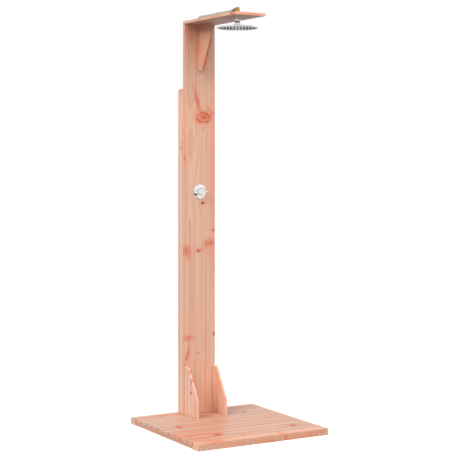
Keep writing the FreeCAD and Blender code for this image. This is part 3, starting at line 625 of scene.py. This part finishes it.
def hose_rubber():
    """Grey hose with fine lines from its mould."""
    material, graph, shader, place = new_material("grey_hose")
    lines = graph.noise(graph.stretched(place, HOSE_WAVES), 1.0)
    colour = graph.mix(lines, *(solid(tone) for tone in HOSE_TONES))
    wire(graph, shader, Base_Color=colour, Roughness=graph.between(lines, *HOSE_ROUGHNESS),
         Normal=graph.bump(lines, *HOSE_RELIEF))
    return material


def slot_materials():
    """One material for each of the record's slots that isn't wood."""
    materials = {name: mottled(name, look) for name, look in MOTTLED.items()}
    return {"chrome": chrome(), "grey_hose": hose_rubber(), **materials}


def dress():
    """Gives every node of the frame its material."""
    grain = grain_group()
    others = slot_materials()
    slots = {entry["node"]: entry["material_slot"] for entry in frame["record"]["subparts"]}
    for name, part in frame["nodes"].items():
        material = others.get(slots[name]) or fir(name, grain)
        for socket in part.material_slots:
            socket.material = material


# ------------------------------------------------------------------ room
def glow(graph, brightness):
    return graph.put("Emission", {"Strength": brightness}).outputs[0]


def matt(graph, tone):
    return graph.put("BsdfDiffuse", {"Color": solid((tone, tone, tone))}).outputs[0]


def either(graph, factor, first, second):
    return graph.put("MixShader", {0: factor, 1: first, 2: second}).outputs[0]


def floor_seen(graph, place):
    """What the camera sees of the floor: pale with a shadow, and white further off."""
    lit = graph.put("AddShader", {0: matt(graph, FLOOR_SEEN), 1: glow(graph, FLOOR_LIFT)})
    away = graph.remap(graph.length(place), *FLOOR_WHITE, interpolation_type="SMOOTHSTEP")
    return either(graph, away, lit.outputs[0], glow(graph, WHITE))


def floor_mirrored(graph, place):
    """What polished pieces mirror of the floor."""
    behind = graph.put("SeparateXYZ", {0: place}).outputs["Y"]
    brightness = graph.remap(behind, *MIRROR_FADE, MIRRORED_FRONT, MIRRORED_BEHIND)
    to_patch = graph.length(graph.vector("SUBTRACT", place, DARK_PATCH_PLACE))
    shade = graph.remap(to_patch, *DARK_PATCH_REACH, DARK_PATCH_TONE)
    return glow(graph, graph.math("MULTIPLY", brightness, shade))


def floor_material():
    material = bpy.data.materials.new("floor")
    material.use_nodes = True
    material.node_tree.nodes.clear()
    graph = Graph(material.node_tree)
    path = graph.put("LightPath", {}).outputs
    place = graph.put("TexCoord", {}).outputs["Object"]
    mixed = either(graph, path["Is Camera Ray"], matt(graph, FLOOR_BOUNCE),
                   floor_seen(graph, place))
    mixed = either(graph, path["Is Glossy Ray"], mixed, floor_mirrored(graph, place))
    graph.put("OutputMaterial", {0: mixed})
    return material


def floor():
    """Wide pale floor. It is seen white, and gives back less light than it shows."""
    mesh = bpy.data.meshes.new("floor")
    corners = [(-1, -1), (1, -1), (1, 1), (-1, 1)]
    points = [(x * FLOOR_HALF, y * FLOOR_HALF, 0.0) for x, y in corners]
    mesh.from_pydata(points, [], [(0, 1, 2, 3)])
    ground = bpy.data.objects.new("floor", mesh)
    bpy.context.scene.collection.objects.link(ground)
    mesh.materials.append(floor_material())


def sky():
    """Soft light from all round, a little brighter above; white where it is looked at."""
    world = bpy.data.worlds.new("sky")
    bpy.context.scene.world = world
    world.use_nodes = True
    world.node_tree.nodes.clear()
    graph = Graph(world.node_tree)
    direction = graph.put("TexCoord", {}).outputs["Generated"]
    height = graph.put("SeparateXYZ", {0: direction}).outputs[2]

    def shine(colour, strength):
        return graph.put("Background", {"Color": colour, "Strength": strength}).outputs[0]

    path = graph.put("LightPath", {}).outputs
    soft = shine(graph.ramp(height, SKY_TONES)[0], SKY_STRENGTH)
    mirrored = shine(graph.ramp(height, SKY_MIRRORED)[0], WHITE)
    mixed = either(graph, path["Is Glossy Ray"], soft, mirrored)
    mixed = either(graph, path["Is Camera Ray"], mixed, shine(solid((1.0, 1.0, 1.0)), WHITE))
    graph.put("OutputWorld", {0: mixed})


def soft_boxes():
    for name, place, aim, width, power in SOFT_BOXES:
        data = bpy.data.lights.new(name, "AREA")
        data.shape = "SQUARE"
        data.size = width
        data.energy = power
        lamp = bpy.data.objects.new(name, data)
        bpy.context.scene.collection.objects.link(lamp)
        lamp.location = place
        lamp.visible_glossy = False
        towards = Vector(aim) - Vector(place)
        lamp.rotation_euler = towards.to_track_quat("-Z", "Y").to_euler()


def camera():
    data = bpy.data.cameras.new("camera")
    data.sensor_width = CAMERA_SENSOR
    data.lens = CAMERA_LENS
    data.shift_y = CAMERA_SHIFT
    eye = bpy.data.objects.new("camera", data)
    bpy.context.scene.collection.objects.link(eye)
    eye.location = CAMERA_PLACE
    eye.rotation_euler = (math.pi / 2, 0.0, math.radians(CAMERA_HEADING))
    bpy.context.scene.camera = eye


camera()
dress()
floor()
sky()
soft_boxes()
bpy.context.scene.view_settings.view_transform = "Standard"
